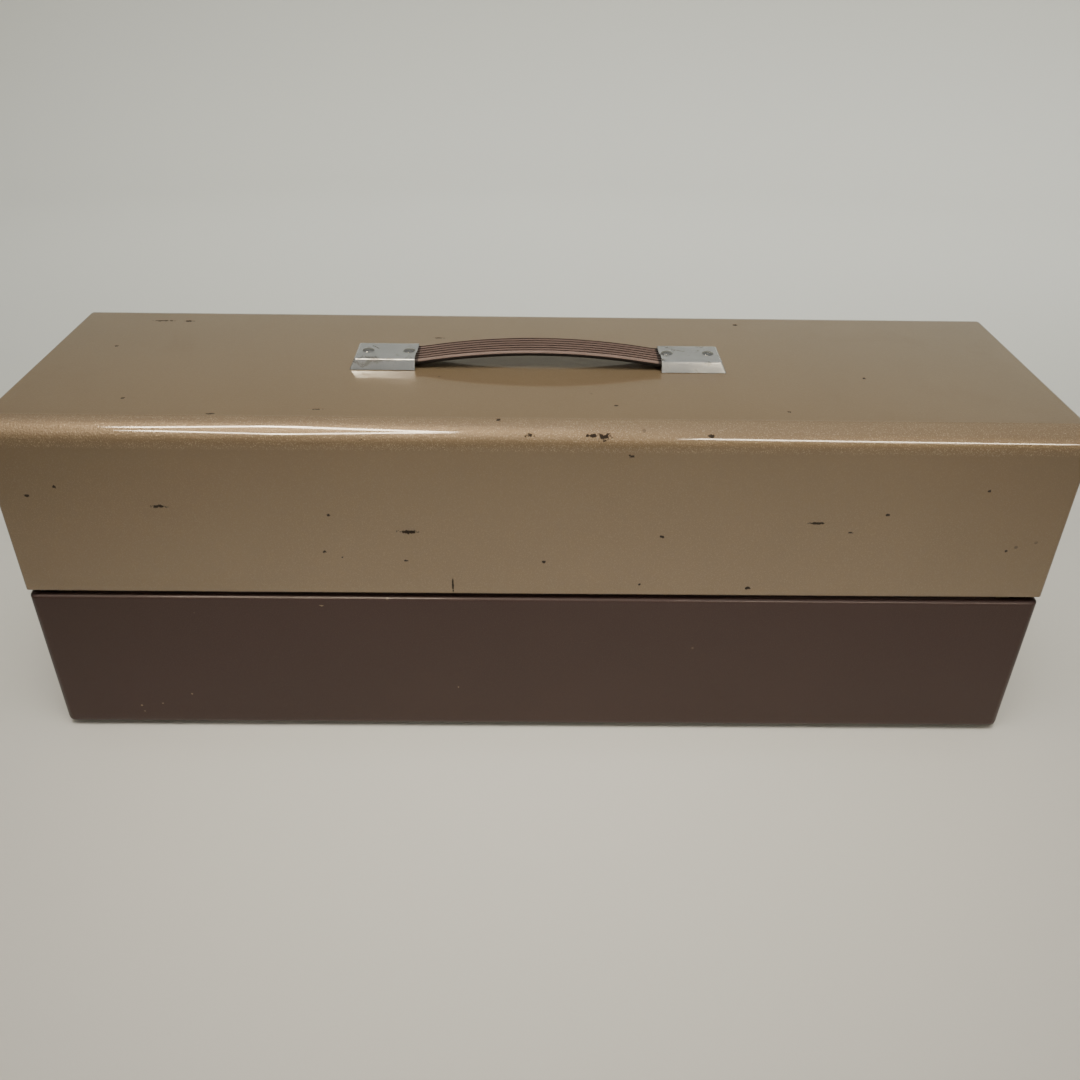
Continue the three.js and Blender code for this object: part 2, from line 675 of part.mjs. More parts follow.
function latchPlate() {
  const back = HALF_DEPTH + SEAT;
  const face = back + LATCH_SHEET;
  const top = SEAM - LATCH_PLATE_BELOW_SEAM;
  const bottom = top - LATCH_PLATE_HEIGHT;
  const half = LATCH_PLATE_WIDTH / 2;
  const ear = new THREE.Shape();
  ear.moveTo(back, LATCH_PIVOT.z - EAR_RADIUS);
  ear.absarc(LATCH_PIVOT.y, LATCH_PIVOT.z, EAR_RADIUS, -Math.PI / 2, Math.PI / 2);
  ear.lineTo(back, LATCH_PIVOT.z + EAR_RADIUS);
  return combine(box(-half, half, back, face, bottom, top), [
    slabX(ear, EAR_INNER, EAR_OUTER),
    slabX(ear, -EAR_OUTER, -EAR_INNER),
    rivet(0, top - RIVET_RADIUS - RIVET_HEIGHT, face),
    rivet(0, bottom + RIVET_RADIUS + 2 * RIVET_HEIGHT, face),
  ], [
    rodX(LATCH_PIN_RADIUS + RUN, -EAR_OUTER - OVERCUT, EAR_OUTER + OVERCUT, LATCH_PIVOT.y, LATCH_PIVOT.z),
  ]);
}

function latchPin() {
  const { y, z } = LATCH_PIVOT;
  const headStart = LATCH_PIN_END - LATCH_PIN_HEAD;
  return combine(rodX(LATCH_PIN_RADIUS, -LATCH_PIN_END, LATCH_PIN_END, y, z), [
    rodX(LATCH_PIN_HEAD_RADIUS, headStart, LATCH_PIN_END, y, z),
    rodX(LATCH_PIN_HEAD_RADIUS, -LATCH_PIN_END, -headStart, y, z),
  ]);
}

function latchLever() {
  const { y, z } = LATCH_PIVOT;
  const half = LEVER_WIDTH / 2;
  const inside = y + LEVER_DEPTH;
  const outside = inside + LATCH_SHEET;
  const top = z + LATCH_SHEET;
  const bendZ = z - LEVER_LENGTH + LEVER_LIP_LENGTH;
  const endZ = z - LEVER_LENGTH;
  const face = outline([
    [inside, top],
    [inside, bendZ],
    [inside + LEVER_LIP, endZ],
    [outside + LEVER_LIP, endZ],
    [outside, bendZ],
    [outside, top],
  ]);
  const boss = BAIL_WIRE_RADIUS + RUN + LEVER_BOSS_WALL;
  const flange = outline([
    ...arc(y, z, LEVER_NOSE_RADIUS, 50, 180, 6),
    ...arc(BAIL_PIVOT.y, BAIL_PIVOT.z, boss, 180, 270, 4),
    [y, BAIL_PIVOT.z - 2 * boss],
    [inside + LATCH_SHEET / 2, z - LEVER_FLANGE_LENGTH],
    [inside + LATCH_SHEET / 2, z],
  ]);
  const reach = half + OVERCUT;
  return combine(slabX(face, -half, half), [
    slabX(flange, half - LATCH_SHEET, half),
    slabX(flange, -half, LATCH_SHEET - half),
  ], [
    rodX(LATCH_PIN_RADIUS + RUN, -reach, reach, y, z),
    rodX(BAIL_WIRE_RADIUS + RUN, -reach, reach, BAIL_PIVOT.y, BAIL_PIVOT.z),
  ]);
}

function latchBail() {
  const { y, z } = BAIL_PIVOT;
  const barZ = KEEPER_SHOULDER + BAIL_BEAR_GAP + BAIL_WIRE_RADIUS;
  const inner = LEVER_WIDTH / 2 - LATCH_SHEET - SEAT;
  const wire = BAIL_WIRE_RADIUS;
  const legs = [-BAIL_HALF_WIDTH, BAIL_HALF_WIDTH];
  const bends = legs.flatMap((x) => [z, barZ].map((height) => (
    new THREE.SphereGeometry(wire, 12, 8).rotateX(Math.PI / 2).translate(x, y, height)
  )));
  return combine(rodX(wire, -BAIL_HALF_WIDTH, BAIL_HALF_WIDTH, y, barZ, 12), [
    ...legs.map((x) => rodZ(wire, z, barZ, x, y, 12)),
    ...legs.map((x) => rodX(wire, Math.sign(x) * inner, x, y, z, 12)),
    ...bends,
  ]);
}

function latchKeeper() {
  const back = HALF_DEPTH + SEAT;
  const face = back + KEEPER_SHEET;
  const half = KEEPER_PLATE_WIDTH / 2;
  const bottom = KEEPER_SHOULDER - KEEPER_PLATE_HEIGHT / 3;
  const top = bottom + KEEPER_PLATE_HEIGHT;
  const shelf = KEEPER_WIDTH / 2;
  const rivetZ = top - RIVET_RADIUS - RIVET_HEIGHT;
  return combine(box(-half, half, back, face, bottom, top), [
    box(-shelf, shelf, back, HALF_DEPTH + KEEPER_REACH, KEEPER_SHOULDER - KEEPER_SHEET, KEEPER_SHOULDER),
    rivet(-RIVET_SPACING / 2, rivetZ, face),
    rivet(RIVET_SPACING / 2, rivetZ, face),
  ]);
}

// Materials and assembly

const FINISHES = {
  lidPaint: { color: 0x8a7658, roughness: 0.35, metalness: 0.5 },
  tubPaint: { color: 0x483a32, roughness: 0.45, metalness: 0.2 },
  trayPaint: { color: 0x6a5a45, roughness: 0.5, metalness: 0.3 },
  plate: { color: 0x9a9a95, roughness: 0.35, metalness: 0.9 },
  strap: { color: 0x6b564a, roughness: 0.7, metalness: 0 },
};

const toolbox = new THREE.Group();

function add(name, geometry, finish, place = [0, 0, 0]) {
  const material = new THREE.MeshStandardMaterial({ ...FINISHES[finish], flatShading: true });
  const mesh = new THREE.Mesh(geometry, material);
  mesh.name = name;
  mesh.position.set(...place);
  toolbox.add(mesh);
}

add('base_tub', tub(), 'tubPaint');
add('hinge_leaf_base', tubLeaf(), 'plate');
add('hinge_pin', hingePin(), 'plate');
add('lid_shell', lid(), 'lidPaint');
add('hinge_leaf_lid', lidLeaf(), 'plate');
add('tray_pan', trayPan(), 'trayPaint');
add('tray_divider_long', longDivider(), 'trayPaint');
for (const [name, geometry] of crossDividers()) {
  add(name, geometry, 'trayPaint');
}
add('handle_strap', strapAlong(new StrapBow(), STRAP_STEPS), 'strap');

for (const [name, side] of [['left', -1], ['right', 1]]) {
  add(`lid_stud_${name}`, mirrored(lidStud(), side), 'plate');
  add(`arm_stud_${name}`, mirrored(armStud(), side), 'plate');
  add(`tray_stud_${name}`, mirrored(trayStud(), side), 'plate');
  add(`tray_arm_${name}`, mirrored(arm(), side), 'plate');
  add(`handle_cap_${name}`, mirrored(handleCap(), side), 'plate');
  add(`strap_end_${name}`, mirrored(strapEnd(), side), 'strap');
  screwPlaces(side).forEach((x, i) => {
    add(`cap_screw_${name}_${i === 0 ? 'inner' : 'outer'}`, capScrew(x), 'plate');
  });
  const place = [side * (HALF_LENGTH - LATCH_FROM_END), 0, 0];
  add(`latch_plate_${name}`, latchPlate(), 'plate', place);
  add(`latch_pin_${name}`, latchPin(), 'plate', place);
  add(`latch_lever_${name}`, latchLever(), 'plate', place);
  add(`latch_bail_${name}`, latchBail(), 'plate', place);
  add(`latch_keeper_${name}`, latchKeeper(), 'plate', place);
}

export default toolbox;
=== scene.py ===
import json
import math

import bmesh
import bpy
from mathutils import Matrix, Vector

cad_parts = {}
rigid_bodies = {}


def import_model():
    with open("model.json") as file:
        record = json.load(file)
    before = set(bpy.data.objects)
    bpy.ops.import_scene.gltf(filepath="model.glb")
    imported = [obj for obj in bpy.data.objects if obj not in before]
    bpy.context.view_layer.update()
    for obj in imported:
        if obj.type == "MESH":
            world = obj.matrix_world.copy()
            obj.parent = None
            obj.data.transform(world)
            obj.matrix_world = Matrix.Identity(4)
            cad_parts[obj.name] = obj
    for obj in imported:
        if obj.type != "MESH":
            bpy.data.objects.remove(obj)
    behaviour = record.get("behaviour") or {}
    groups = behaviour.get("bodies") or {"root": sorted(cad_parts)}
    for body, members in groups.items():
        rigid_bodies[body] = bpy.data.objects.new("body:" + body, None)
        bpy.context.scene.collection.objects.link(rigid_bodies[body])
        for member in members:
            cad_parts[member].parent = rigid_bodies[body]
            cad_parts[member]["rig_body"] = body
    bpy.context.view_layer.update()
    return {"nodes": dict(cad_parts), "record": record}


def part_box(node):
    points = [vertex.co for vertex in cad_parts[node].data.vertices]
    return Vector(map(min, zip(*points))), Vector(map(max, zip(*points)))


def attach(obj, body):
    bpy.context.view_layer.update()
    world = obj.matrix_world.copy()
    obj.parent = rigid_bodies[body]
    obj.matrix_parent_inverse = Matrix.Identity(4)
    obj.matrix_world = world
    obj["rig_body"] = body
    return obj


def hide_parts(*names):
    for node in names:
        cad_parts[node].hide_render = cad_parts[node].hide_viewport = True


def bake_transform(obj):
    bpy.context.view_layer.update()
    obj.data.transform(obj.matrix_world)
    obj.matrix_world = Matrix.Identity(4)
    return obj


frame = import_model()
print("frame loaded")

smoothAngle = math.radians(35)
mm = 0.001  # one millimetre in metres; colours are linear red, green, blue, alpha


def clearSelection():
    if bpy.context.object and bpy.context.object.mode != "OBJECT":
        bpy.ops.object.mode_set(mode="OBJECT")
    bpy.ops.object.select_all(action="DESELECT")


def activate(piece):
    clearSelection()
    piece.select_set(True)
    bpy.context.view_layer.objects.active = piece


def edit(piece):
    activate(piece)
    bpy.ops.object.mode_set(mode="EDIT")


def pick(piece, kind, test):
    # in edit mode, selects only the vertices, edges or faces that pass the test
    bpy.ops.mesh.select_mode(type=kind)
    bpy.ops.mesh.select_all(action="DESELECT")
    mesh = bmesh.from_edit_mesh(piece.data)
    for item in {"VERT": mesh.verts, "EDGE": mesh.edges, "FACE": mesh.faces}[kind]:
        if test(item):
            item.select_set(True)
    bmesh.update_edit_mesh(piece.data)


def applyModifier(piece, kind, **settings):
    activate(piece)
    modifier = piece.modifiers.new(kind.title(), kind)
    for key, value in settings.items():
        setattr(modifier, key, value)
    bpy.ops.object.modifier_apply(modifier=modifier.name)


def softenEdges(piece, width, angle=40):
    applyModifier(piece, "BEVEL", width=width, segments=2, limit_method="ANGLE",
                  angle_limit=math.radians(angle))


def addBox(name, low, high):
    clearSelection()
    low, high = Vector(low), Vector(high)
    bpy.ops.mesh.primitive_cube_add(size=1, location=(low + high) / 2)
    piece = bpy.context.object
    piece.name = name
    piece.scale = high - low
    bpy.ops.object.transform_apply(location=True, rotation=True, scale=True)
    return piece


def finishPiece(piece, body, material, stands=()):
    activate(piece)
    bpy.ops.object.shade_smooth_by_angle(angle=smoothAngle)
    applyModifier(piece, "WEIGHTED_NORMAL", keep_sharp=True)
    piece.data.materials.clear()
    piece.data.materials.append(material)
    if body:
        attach(piece, body)
    if stands:
        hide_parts(*stands)
    return piece


def near(value, target, reach=1e-5):
    return abs(value - target) < reach


view = {
    "place": (-0.0054, -0.5761, 0.4581),
    "down": 32.656,  # degrees below the horizon
    "turn": -0.815,
    "roll": 0.884,
    "lens": 33.17,
    "sensor": 36,
}


def makeCamera():
    clearSelection()
    bpy.ops.object.camera_add(location=view["place"])
    camera = bpy.context.object
    turn = Matrix.Rotation(math.radians(view["turn"]), 3, "Z")
    tilt = Matrix.Rotation(math.radians(90 - view["down"]), 3, "X")
    roll = Matrix.Rotation(math.radians(view["roll"]), 3, "Z")
    camera.rotation_euler = (turn @ tilt @ roll).to_euler()
    camera.data.sensor_width = view["sensor"]
    camera.data.lens = view["lens"]
    bpy.context.scene.camera = camera


lamps = [
    # name, place, what it points at, size, beam in degrees, watts, colour; these don't show in gloss
    ("lampKey", (0.01, -0.32, 1.00), (0.01, -0.12, 0.2), (0.8, 0.5), 66, 2.85, (1.0, 0.985, 0.96)),
    ("lampFill", (0.9, -2.1, 1.2), (0.10, 0, 0.1), (1.2, 1.2), 50, 1.6, (1.0, 0.985, 0.96)),
    ("lampWall", (0.38, 0.2, 1.9), (0.38, 1.5, -0.1), (3.0, 0.4), 90, 32.0, (0.91, 0.985, 1.04)),
]
strips = [
    # name, one end, other end, width, watts; these only show in gloss
    ("stripLeftA", (-0.676, -0.585, 1.2), (-0.375, -0.300, 1.2), 0.09, 6),
    ("stripLeftB", (-0.407, -0.318, 1.2), (-0.161, -0.791, 1.2), 0.09, 7.5),
    ("stripLeftC", (-0.740, -0.960, 1.2), (-0.532, -1.434, 1.2), 0.10, 6.5),
    ("stripLeftD", (-0.587, -1.485, 1.2), (-0.164, -0.845, 1.2), 0.10, 10),
    ("stripRightA", (0.297, -1.224, 0.9), (1.466, -2.081, 0.9), 0.13, 20),
    ("stripRightB", (0.584, -2.101, 1.2), (1.800, -3.450, 1.2), 0.08, 4),
]
stripTarget = (0, -0.085, 0.215)
stripColour = (1.0, 0.85, 0.64)


def addLamp(name, place, turn, size, watts, colour, beam=180):
    clearSelection()
    bpy.ops.object.light_add(type="AREA", location=place)
    lamp = bpy.context.object
    lamp.name = name
    lamp.rotation_euler = turn.to_euler()
    lamp.data.shape = "RECTANGLE"
    lamp.data.size, lamp.data.size_y = size
    lamp.data.spread = math.radians(beam)
    lamp.data.energy = watts
    lamp.data.color = colour
    lamp.visible_camera = False
    return lamp


def makeLamps():
    for name, place, target, size, beam, watts, colour in lamps:
        turn = (Vector(target) - Vector(place)).to_track_quat("-Z", "Y")
        lamp = addLamp(name, place, turn, size, watts, colour, beam)
        lamp.visible_glossy = False
    for name, start, end, width, watts in strips:
        start, end = Vector(start), Vector(end)
        middle = (start + end) / 2
        along = (end - start).normalized()
        back = middle - Vector(stripTarget)
        back = (back - along * back.dot(along)).normalized()
        turn = Matrix((along, back.cross(along), back)).transposed()
        lamp = addLamp(name, middle, turn, ((end - start).length, width), watts, stripColour)
        lamp.visible_diffuse = False


studioWorld = {"colour": (0.80, 0.81, 0.83, 1), "strength": 0.36}


def makeWorld():
    world = bpy.data.worlds.new("studio")
    bpy.context.scene.world = world
    world.use_nodes = True
    background = world.node_tree.nodes["Background"]
    background.inputs["Color"].default_value = studioWorld["colour"]
    background.inputs["Strength"].default_value = studioWorld["strength"]


coveShape = {
    "centre": (0, -1.4, 0), "radius": 2.8, "bend": 0.8, "bendSteps": 12, "height": 1.2, "sides": 96,
    "colour": (0.542, 0.508, 0.424, 1), "roughness": 0.6,
}


def growCove(centre, spread, rise):
    bpy.ops.mesh.extrude_edges_move(TRANSFORM_OT_translate={"value": (0, 0, rise)})
    bpy.ops.transform.resize(value=(spread, spread, 1), center_override=centre)


def makeCove():
    # a round pale floor whose rim curves up into a wall on every side
    shape = coveShape
    clearSelection()
    bpy.ops.mesh.primitive_circle_add(vertices=shape["sides"], radius=shape["radius"], fill_type="NGON",
                                      location=shape["centre"])
    cove = bpy.context.object
    cove.name = "cove"
    bpy.ops.object.transform_apply(location=True)
    edit(cove)
    pick(cove, "EDGE", lambda e: True)
    reach, height = shape["radius"], 0
    for i in range(1, shape["bendSteps"] + 1):
        angle = math.radians(90 * i / shape["bendSteps"])
        nextReach = shape["radius"] + shape["bend"] * math.sin(angle)
        nextHeight = shape["bend"] * (1 - math.cos(angle))
        growCove(shape["centre"], nextReach / reach, nextHeight - height)
        reach, height = nextReach, nextHeight
    growCove(shape["centre"], 1, shape["height"])
    bpy.ops.mesh.select_all(action="SELECT")
    bpy.ops.mesh.normals_make_consistent(inside=True)
    bpy.ops.object.mode_set(mode="OBJECT")
    bpy.ops.object.shade_smooth()
    material = bpy.data.materials.new("covePaint")
    material.use_nodes = True
    shader = material.node_tree.nodes["Principled BSDF"]
    shader.inputs["Base Color"].default_value = shape["colour"]
    shader.inputs["Roughness"].default_value = shape["roughness"]
    cove.data.materials.append(material)


makeCamera()
makeLamps()
makeWorld()
makeCove()
print("camera, lamps and cove ready")


def newGroup(name, inputs, outputs):
    group = bpy.data.node_groups.new(name, "ShaderNodeTree")
    for label, kind in inputs:
        group.interface.new_socket(label, in_out="INPUT", socket_type=f"NodeSocket{kind}")
    for label in outputs:
        group.interface.new_socket(label, in_out="OUTPUT", socket_type="NodeSocketFloat")
    return group, group.nodes.new("NodeGroupInput").outputs, group.nodes.new("NodeGroupOutput").inputs


def plug(tree, value, socket):
    # a socket takes a plain value or another node's output
    if isinstance(value, bpy.types.NodeSocket):
        tree.links.new(value, socket)
    else:
        socket.default_value = value


def setInputs(tree, node, values):
    for label, value in values.items():
        plug(tree, value, node.inputs[label])


def addNoise(tree, vector, scale, detail, roughness=0.5, distortion=0):
    node = tree.nodes.new("ShaderNodeTexNoise")
    setInputs(tree, node, {"Vector": vector, "Scale": scale, "Detail": detail, "Roughness": roughness,
                           "Distortion": distortion})
    return node.outputs["Fac"]


def addRange(tree, value, low, high, toLow=0, toHigh=1):
    # rises smoothly from toLow to toHigh as the value goes from low to high
    node = tree.nodes.new("ShaderNodeMapRange")
    node.interpolation_type = "SMOOTHSTEP"
    setInputs(tree, node, {"Value": value, "From Min": low, "From Max": high, "To Min": toLow,
                           "To Max": toHigh})
    return node.outputs["Result"]


def addMath(tree, kind, *values):
    node = tree.nodes.new("ShaderNodeMath")
    node.operation = kind
    for socket, value in zip(node.inputs, values):
        plug(tree, value, socket)
    return node.outputs["Value"]


def addVector(tree, kind, *vectors, result="Vector"):
    node = tree.nodes.new("ShaderNodeVectorMath")
    node.operation = kind
    for socket, value in zip(node.inputs, vectors):
        plug(tree, value, socket)
    return node.outputs[result]


fleckRange = (0.52, 0.72)  # of the noise, over which a fleck fades in


def makePaintGrain():
    # metal flecks, orange peel and slow mottling of a sprayed enamel
    scales = ("Fleck Scale", "Peel Scale", "Mottle Scale")
    inputs = [("Vector", "Vector")] + [(label, "Float") for label in scales]
    group, start, end = newGroup("paintGrain", inputs, ["Fleck", "Peel", "Mottle"])
    fleck = addNoise(group, start["Vector"], start["Fleck Scale"], 1)
    peel = addNoise(group, start["Vector"], start["Peel Scale"], 2, 0.55)
    mottle = addNoise(group, start["Vector"], start["Mottle Scale"], 4, 0.55, 0.3)
    group.links.new(addRange(group, fleck, *fleckRange), end["Fleck"])
    group.links.new(peel, end["Peel"])
    group.links.new(mottle, end["Mottle"])
    return group


wornLook = {
    # stretches, scales and, as (low, high), the range of the noise over which a mark fades in
    "along": (14, 260, 260), "alongRange": (0.735, 0.78),
    "across": (300, 40, 22), "acrossRange": (0.74, 0.785),
    "patch": 7, "patchRange": (0.55, 0.72), "dots": 46, "dotSize": (0.035, 0.07),
    "few": 31, "fewRange": (0.60, 0.66), "smudge": 16, "smudgeRange": (0.5, 0.78),
}


def makeWornMarks():
    # fine scratches both ways, pin specks and cloudy handling smudges
    look = wornLook
    group, start, end = newGroup("wornMarks", [("Vector", "Vector"), ("Amount", "Float")],
                                 ["Scratch", "Speck", "Smudge"])
    place, amount = start["Vector"], start["Amount"]
    along = addNoise(group, addVector(group, "MULTIPLY", place, look["along"]), 1, 2, 0.5, 0.6)
    across = addNoise(group, addVector(group, "MULTIPLY", place, look["across"]), 1, 2, 0.5, 0.8)
    lines = addMath(group, "MAXIMUM", addRange(group, along, *look["alongRange"]),
                    addRange(group, across, *look["acrossRange"]))
    patch = addRange(group, addNoise(group, place, look["patch"], 2), *look["patchRange"])
    scratch = addMath(group, "MULTIPLY", addMath(group, "MULTIPLY", lines, patch), amount)
    voronoi = group.nodes.new("ShaderNodeTexVoronoi")
    setInputs(group, voronoi, {"Vector": place, "Scale": look["dots"]})
    dots = addRange(group, voronoi.outputs["Distance"], *look["dotSize"], 1, 0)
    few = addRange(group, addNoise(group, place, look["few"], 1), *look["fewRange"])
    speck = addMath(group, "MULTIPLY", addMath(group, "MULTIPLY", dots, few), amount)
    smudge = addRange(group, addNoise(group, place, look["smudge"], 5, 0.62, 0.5), *look["smudgeRange"])
    group.links.new(scratch, end["Scratch"])
    group.links.new(speck, end["Speck"])
    group.links.new(smudge, end["Smudge"])
    return group


spotLook = {
    # ragged and edge are shares of the mark's reach: how far its edge wanders, and where it fades
    "grain": 520, "grainRange": (0.3, 0.7), "ragged": 0.4, "edge": (0.7, 1.15),
}


def makeSpot():
    # one mark at a place, ragged at its edge
    look = spotLook
    labels = ("Vector", "Centre", "Reach")
    group, start, end = newGroup("spot", [(label, "Vector") for label in labels], ["Mask"])
    away = addVector(group, "SUBTRACT", start["Vector"], start["Centre"])
    share = addVector(group, "DIVIDE", away, start["Reach"])
    length = addVector(group, "LENGTH", share, result="Value")
    ragged = addNoise(group, start["Vector"], look["grain"], 2)
    ragged = addRange(group, ragged, *look["grainRange"], -look["ragged"], look["ragged"])
    bumpy = addMath(group, "ADD", length, ragged)
    group.links.new(addRange(group, bumpy, *look["edge"], 1, 0), end["Mask"])
    return group


groups = {"grain": makePaintGrain(), "worn": makeWornMarks(), "spot": makeSpot()}


def newMaterial(name):
    material = bpy.data.materials.new(name)
    material.use_nodes = True
    tree = material.node_tree
    shader = tree.nodes["Principled BSDF"]
    place = tree.nodes.new("ShaderNodeTexCoord").outputs["Object"]
    return material, tree, shader, place


def placeGroup(tree, key, place, **values):
    # in the keywords, an underscore stands for a space
    node = tree.nodes.new("ShaderNodeGroup")
    node.node_tree = groups[key]
    tree.links.new(place, node.inputs["Vector"])
    setInputs(tree, node, {label.replace("_", " "): value for label, value in values.items()})
    return node.outputs


def placeGrain(tree, place, look):
    return placeGroup(tree, "grain", place, Fleck_Scale=look["fleck"], Peel_Scale=look["peel"],
                      Mottle_Scale=look["mottle"])


def blendIn(tree, mask, body, colour, share=1):
    # lays a colour over the body as far as the mask goes, times the share
    node = tree.nodes.new("ShaderNodeMix")
    node.data_type = "RGBA"
    if share != 1:
        mask = addMath(tree, "MULTIPLY", mask, share)
    tree.links.new(mask, [socket for socket in node.inputs if socket.type == "VALUE"][0])
    colours = [socket for socket in node.inputs if socket.type == "RGBA"]
    plug(tree, body, colours[0])
    plug(tree, colour, colours[1])
    return [socket for socket in node.outputs if socket.type == "RGBA"][0]


bumpDepth = 0.2 * mm


def addBump(tree, shader, height, strength):
    bump = tree.nodes.new("ShaderNodeBump")
    setInputs(tree, bump, {"Height": height, "Strength": strength, "Distance": bumpDepth})
    tree.links.new(bump.outputs["Normal"], shader.inputs["Normal"])


def rangeMask(tree, place, axis, low, high):
    # 0 below low and 1 above high, in millimetres, on the size of one coordinate
    parts = tree.nodes.new("ShaderNodeSeparateXYZ")
    tree.links.new(place, parts.inputs["Vector"])
    return addRange(tree, addMath(tree, "ABSOLUTE", parts.outputs[axis]), low * mm, high * mm)


def addMarks(tree, place, marks):
    total = None
    for centre, reach in marks:
        mask = placeGroup(tree, "spot", place, Centre=Vector(centre) * mm, Reach=Vector(reach) * mm)["Mask"]
        total = mask if total is None else addMath(tree, "MAXIMUM", total, mask)
    return total


lidMarks = [
    # centre and reach of each chip or scratch, in millimetres
    ((-250, 65, 219), (7, 1, 3)), ((-233, 65, 219), (3, 1.2, 3)), ((-266, 20, 219), (1.4, 1.2, 3)),
    ((-64, 39, 219), (4, 0.8, 3)), ((133, 68, 219), (1.8, 1.5, 3)), ((196, -20, 219), (1.4, 1.2, 3)),
    ((44, -62, 219), (1.2, 1, 3)), ((-235, -58, 219), (1.2, 1, 3)), ((-181, -77, 219), (3, 1, 3)),
    ((-124, -70, 219), (3.4, 0.7, 3)), ((-22, -81, 219), (1.4, 1.2, 3)), ((141, -68, 219), (1.4, 1, 3)),
    ((-287, -91, 174), (1.2, 3, 1.2)), ((-270, -91, 180), (1, 3, 0.9)), ((-214, -91, 168), (4.5, 3, 1.2)),
    ((-75, -91, 152), (5.5, 3, 1.3)), ((-77, -91, 132), (1.6, 3, 1)), ((4, -91, 132), (1, 3, 0.9)),
    ((126, -91, 114), (1.8, 3, 1)), ((161, -91, 160), (5, 3, 0.7)), ((-50, -91, 114), (0.5, 3, 5)),
    ((-119, -91, 163), (1, 3, 0.9)), ((-124, -91, 138), (1.2, 3, 0.8)), ((-114, -91, 134), (0.8, 3, 0.8)),
    ((72, -91, 150), (1.2, 3, 0.9)), ((61, -91, 116), (1, 3, 1)), ((181, -91, 154), (1.4, 3, 0.8)),
    ((200, -91, 166), (1, 3, 0.9)), ((254, -91, 182), (1.2, 3, 0.9)), ((274, -91, 142), (1, 3, 1)),
    ((36, -87.5, 212.5), (4.2, 4, 2)), ((29, -88, 213.5), (3.5, 3, 0.8)), ((-5, -87.5, 213), (2.4, 3, 1.2)),
    ((94, -87.5, 213.5), (2, 3, 1.2)), ((51, -89, 202), (1.6, 4, 1.3)), ((-97, -87, 211), (2, 4, 1)),
]
tubMarks = [
    ((-130, -91, 99), (1.2, 3, 0.5)), ((-240, -91, 20), (0.7, 3, 0.6)), ((-254, -91, 18), (0.6, 3, 0.5)),
    ((-220, -91, 28), (0.5, 3, 0.5)), ((-253, -91, 13), (0.5, 3, 0.5)), ((-49, -91, 35), (0.5, 3, 0.5)),
]


def makePaint(name, look, marks=()):
    # the edge mask marks the bend along the top, where the paint is thicker, and where a lighter colour is
    # laid on as a painted highlight
    material, tree, shader, place = newMaterial(name)
    grain = placeGrain(tree, place, look)
    worn = placeGroup(tree, "worn", place, Amount=look["wear"])
    edge = addMath(tree, "MULTIPLY", rangeMask(tree, place, "Y", *look["edgeY"]),
                   rangeMask(tree, place, "Z", *look["edgeZ"]))
    fleckShare = addRange(tree, edge, 0, 1, look["fleckShare"], look["edgeFleck"])
    body = blendIn(tree, grain["Mottle"], look["dark"], look["light"])
    body = blendIn(tree, addMath(tree, "MULTIPLY", grain["Fleck"], fleckShare), body, look["fleckColour"])
    body = blendIn(tree, worn["Speck"], body, look["chip"], look["speckShare"])
    body = blendIn(tree, worn["Scratch"], body, look["scratch"], look["scratchShare"])
    # painted highlight: a lighter colour along the edge bend, standing in for the lamps' reflection there
    body = blendIn(tree, edge, body, look["edgeColour"], look["edgeShare"])
    coat = addRange(tree, edge, 0, 1, look["coat"], look["edgeCoat"])
    height = addMath(tree, "MULTIPLY", grain["Peel"], addRange(tree, edge, 0, 1, 1, look["edgePeel"]))
    rough = addMath(tree, "MULTIPLY_ADD", worn["Smudge"], look["smudge"], look["roughness"])
    if marks:
        chips = addMarks(tree, place, marks)
        body = blendIn(tree, chips, body, look["chip"], look["chipShare"])
        bare = addMath(tree, "SUBTRACT", 1, chips)
        coat = addMath(tree, "MULTIPLY", coat, bare)
        height = addMath(tree, "ADD", height, addMath(tree, "MULTIPLY", bare, look["chipDepth"]))
        rough = addMath(tree, "MAXIMUM", rough, addMath(tree, "MULTIPLY", chips, look["chipRoughness"]))
    setInputs(tree, shader, {
        "Base Color": body, "Roughness": rough, "Metallic": look["metallic"],
        "Specular IOR Level": look["specular"], "Coat Weight": coat,
        "Coat Roughness": look["coatRoughness"], "Coat IOR": look["coatIor"],
    })
    addBump(tree, shader, height, look["bump"])
    return material


paintWear = {
    "mottle": 9, "speckShare": 0.85, "scratchShare": 0.5, "smudge": 0.06, "chipShare": 0.95,
    "chipRoughness": 0.85,
}
lidPaint = {
    **paintWear,
    "dark": (0.154, 0.105, 0.055, 1), "light": (0.180, 0.122, 0.064, 1),
    "fleckColour": (0.42, 0.32, 0.20, 1), "fleck": 1700, "fleckShare": 0.10, "peel": 900, "bump": 0.28,
    "chip": (0.016, 0.011, 0.008, 1), "scratch": (0.09, 0.063, 0.037, 1), "wear": 0.6, "roughness": 0.32,
    "metallic": 0.3, "specular": 0.15, "coat": 1.0, "coatIor": 1.7, "coatRoughness": 0.03, "chipDepth": 3.0,
    "edgeY": (77, 81), "edgeZ": (203, 206), "edgeFleck": 0.55, "edgeCoat": 0.8, "edgePeel": 5.0,
    # the edge colour is a painted highlight along the top rounding
    "edgeColour": (0.30, 0.21, 0.13, 1), "edgeShare": 0.08,
}
